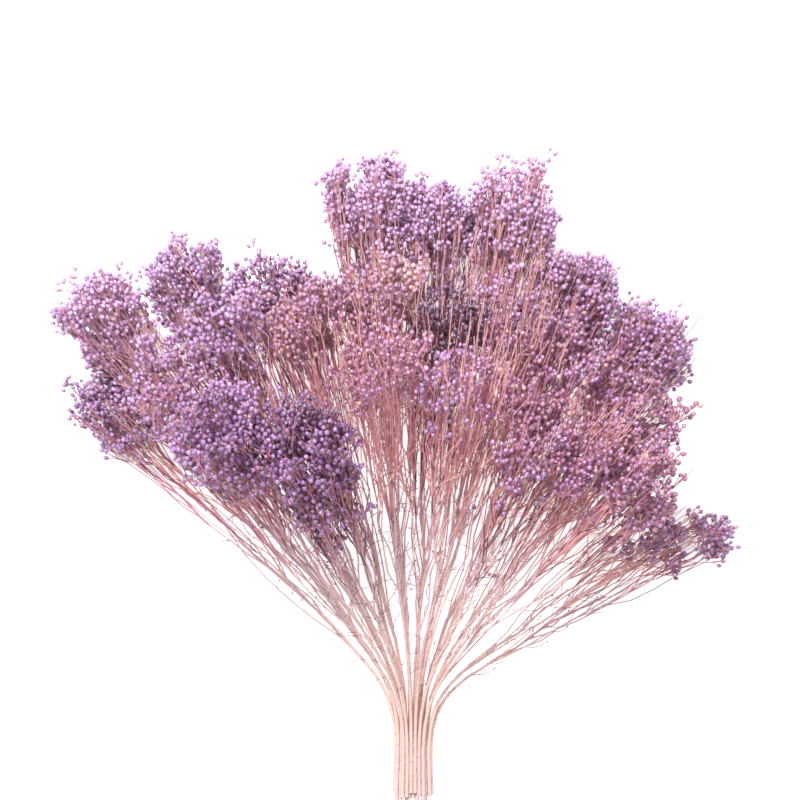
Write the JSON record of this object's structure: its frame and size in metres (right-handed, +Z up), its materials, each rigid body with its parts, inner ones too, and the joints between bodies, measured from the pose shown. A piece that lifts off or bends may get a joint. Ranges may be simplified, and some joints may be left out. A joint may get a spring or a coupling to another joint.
{
  "type": "dried broom bloom",
  "caption": "Bunch of dried, dyed broom bloom lying down: cut stems side by side that fan out into fine twigs ending in small round seed capsules.",
  "frame": {"origin": "bottom centre of the bunch as it lies on a table", "axes": "+Y from the cut ends to the tips, +X across the fan, +Z up from the table"},
  "size_m": [0.5748, 0.5572, 0.2428],
  "materials": {
    "dyed_broom": "matt dyed plant: lilac to deep violet seed capsules on dusty rose twigs that fade to peach-beige at the cut ends"
  },
  "bodies": {
    "root": {"spray_01": "dyed_broom", "spray_02": "dyed_broom", "spray_03": "dyed_broom", "spray_04": "dyed_broom", "spray_05": "dyed_broom", "spray_06": "dyed_broom", "spray_07": "dyed_broom", "spray_08": "dyed_broom", "spray_09": "dyed_broom", "spray_10": "dyed_broom", "spray_11": "dyed_broom", "spray_12": "dyed_broom", "spray_13": "dyed_broom", "spray_14": "dyed_broom", "spray_15": "dyed_broom", "spray_16": "dyed_broom", "spray_17": "dyed_broom", "spray_18": "dyed_broom", "spray_19": "dyed_broom", "spray_20": "dyed_broom", "spray_21": "dyed_broom", "spray_22": "dyed_broom", "spray_23": "dyed_broom", "spray_24": "dyed_broom", "spray_25": "dyed_broom"}
  },
  "joints": []
}
